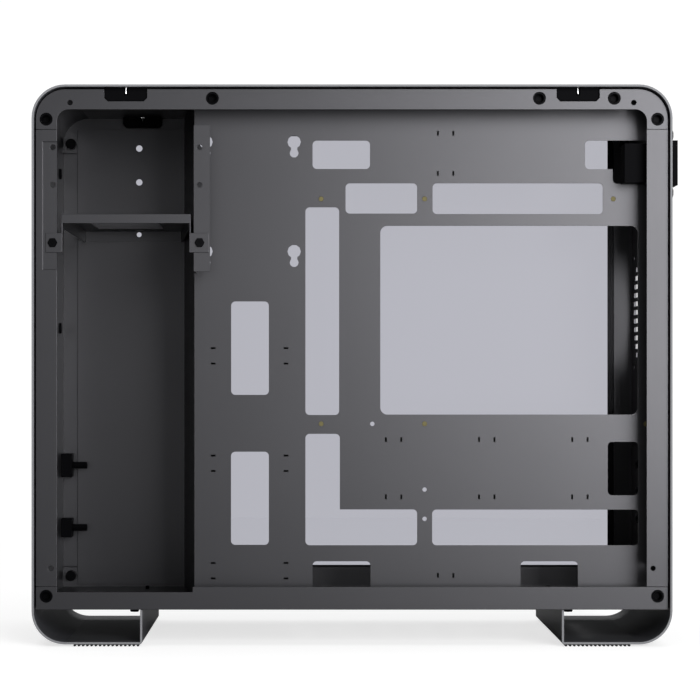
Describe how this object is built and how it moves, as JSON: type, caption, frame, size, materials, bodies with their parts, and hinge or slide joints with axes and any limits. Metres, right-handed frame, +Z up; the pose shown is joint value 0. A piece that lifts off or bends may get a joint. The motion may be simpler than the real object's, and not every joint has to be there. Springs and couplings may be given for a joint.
{
  "type": "computer case",
  "caption": "Upright micro-ATX computer case: a metal shell wrapped into curled feet, right side open onto a pierced motherboard tray and power supply bay, tinted glass on the left.",
  "frame": {"origin": "on the floor, under the middle of the outer shell", "axes": "+X towards the case's rear, -Y out of its open right side, +Z up"},
  "size_m": [0.4456, 0.205, 0.386],
  "materials": {
    "shell": "fine blasted, grey anodised",
    "chassis": "fine-grained powder coat",
    "black_plastic": "fine-grained moulding",
    "rubber": "matt",
    "glass": "polished, lightly tinted",
    "brass": "turned",
    "steel": "plain plated",
    "button": "fine blasted, grey anodised"
  },
  "bodies": {
    "case": {"board_standoffs": "brass", "chassis_bottom": "chassis", "chassis_front": "chassis", "chassis_rear": "chassis", "chassis_top": "chassis", "floor_screws": "steel", "foot_pad_front_left": "rubber", "foot_pad_front_right": "rubber", "foot_pad_rear_left": "rubber", "foot_pad_rear_right": "rubber", "front_rivets": "black_plastic", "glass_ball_studs": "steel", "glass_panel": "glass", "inlet_pins": "brass", "inlet_screws": "steel", "left_panel_sockets": "black_plastic", "motherboard_tray": "chassis", "outer_shell": "shell", "power_inlet": "black_plastic", "power_module": "black_plastic", "psu_bracket": "chassis", "psu_bracket_screws": "steel", "psu_divider": "chassis", "psu_rail": "chassis", "psu_side_cover": "chassis", "right_panel_sockets": "black_plastic", "slot_cover_1": "chassis", "slot_cover_2": "chassis", "slot_cover_3": "chassis", "slot_cover_4": "chassis", "slot_screws": "steel", "top_clip_front_left": "black_plastic", "top_clip_front_right": "black_plastic", "top_clip_rear_left": "black_plastic", "top_clip_rear_right": "black_plastic", "usb_module": "black_plastic", "usb_socket": "steel", "usb_tongue": "black_plastic"},
    "power_button": {"power_button": "button"}
  },
  "joints": [
    {"name": "power_button_press", "type": "slide", "parent": "case", "child": "power_button", "axis": [1, 0, 0], "range_m": [0, 0.0012], "stiffness_N_per_m": 1000}
  ]
}
